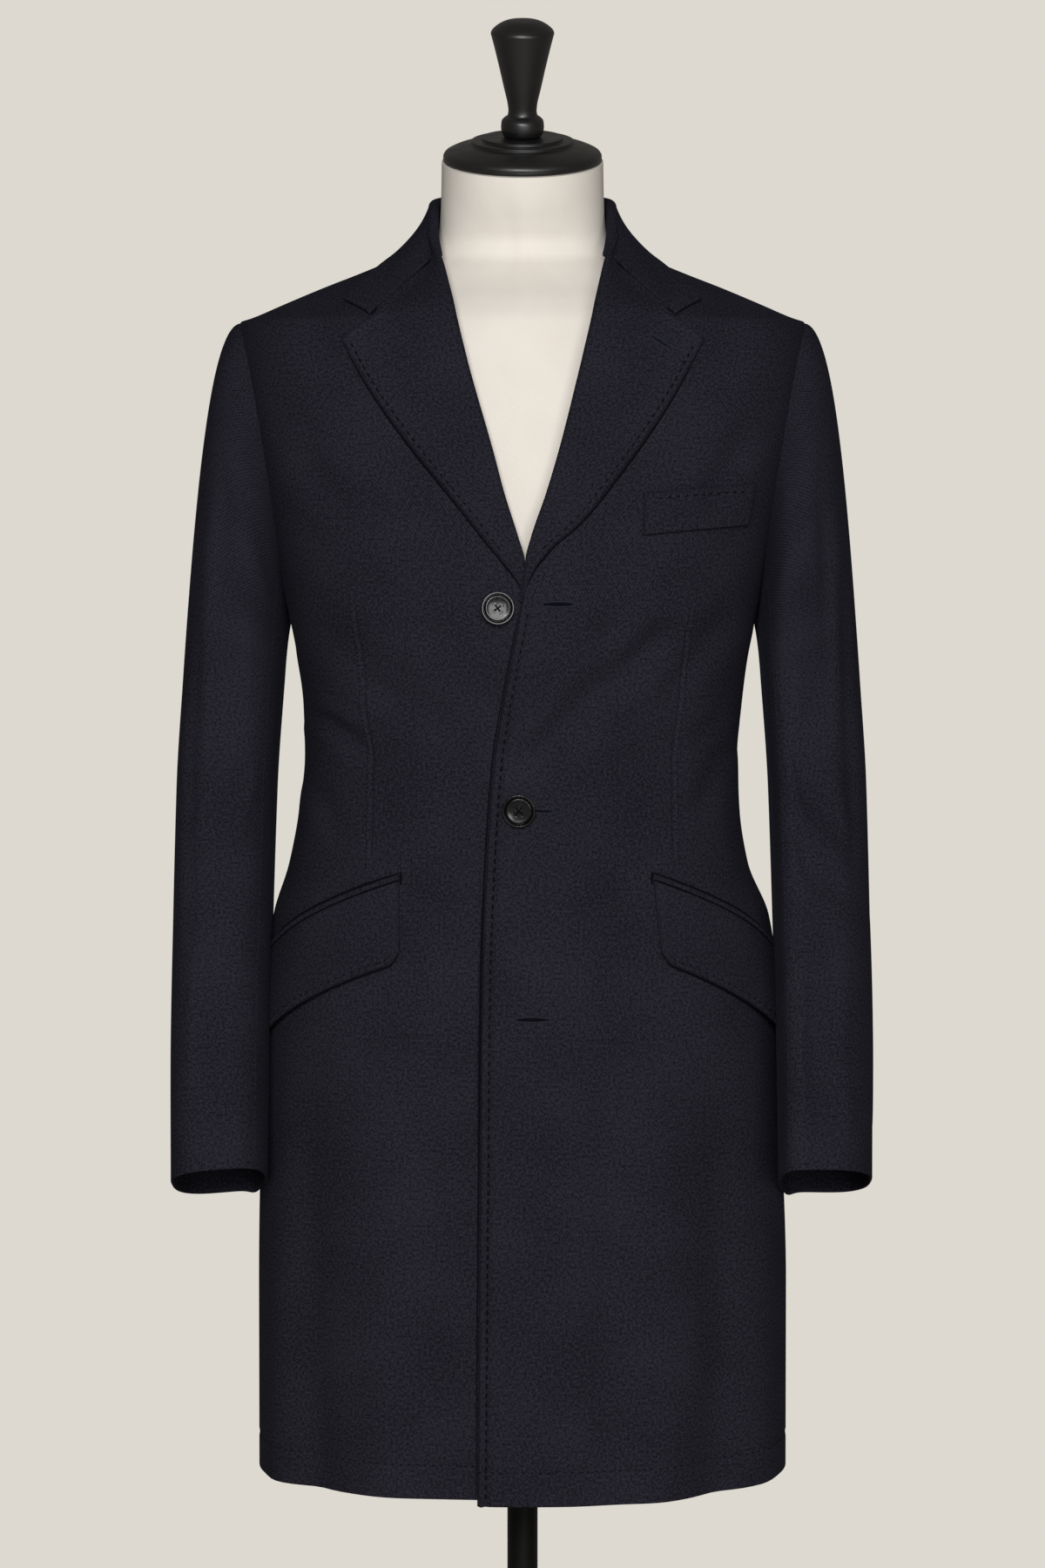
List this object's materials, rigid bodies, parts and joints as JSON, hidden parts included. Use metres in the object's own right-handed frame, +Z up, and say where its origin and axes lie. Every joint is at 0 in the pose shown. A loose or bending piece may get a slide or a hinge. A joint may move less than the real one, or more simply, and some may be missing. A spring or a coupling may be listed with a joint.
{
  "type": "overcoat on a dress form",
  "caption": "Dark single-breasted wool overcoat with notch lapels, flap pockets and set-in sleeves, buttoned on a limbless dress form with a turned neck cap, pole and round base.",
  "frame": {"origin": "centre of the base's underside, on the floor", "axes": "+Z up, the coat faces -Y, the wearer's left is +X"},
  "size_m": [0.53, 0.4, 1.6659],
  "materials": {
    "coating": "matte brushed wool coating, near-black navy",
    "button_horn": "satin dark horn",
    "form_cloth": "matte cream woven cover",
    "lacquered_wood": "satin black lacquer on turned wood",
    "painted_stand": "satin black paint"
  },
  "bodies": {
    "root": {"front_left": "coating", "front_right": "coating", "back_left": "coating", "back_right": "coating", "lapel_left": "coating", "lapel_right": "coating", "collar": "coating", "sleeve_top_left": "coating", "sleeve_top_right": "coating", "sleeve_under_left": "coating", "sleeve_under_right": "coating", "breast_welt": "coating", "flap_left": "coating", "flap_right": "coating", "jet_left": "coating", "jet_right": "coating", "button_top": "button_horn", "button_middle": "button_horn", "button_bottom": "button_horn", "form_torso": "form_cloth", "neck_cap": "lacquered_wood", "finial": "lacquered_wood", "pole": "painted_stand", "base": "painted_stand"}
  },
  "joints": []
}
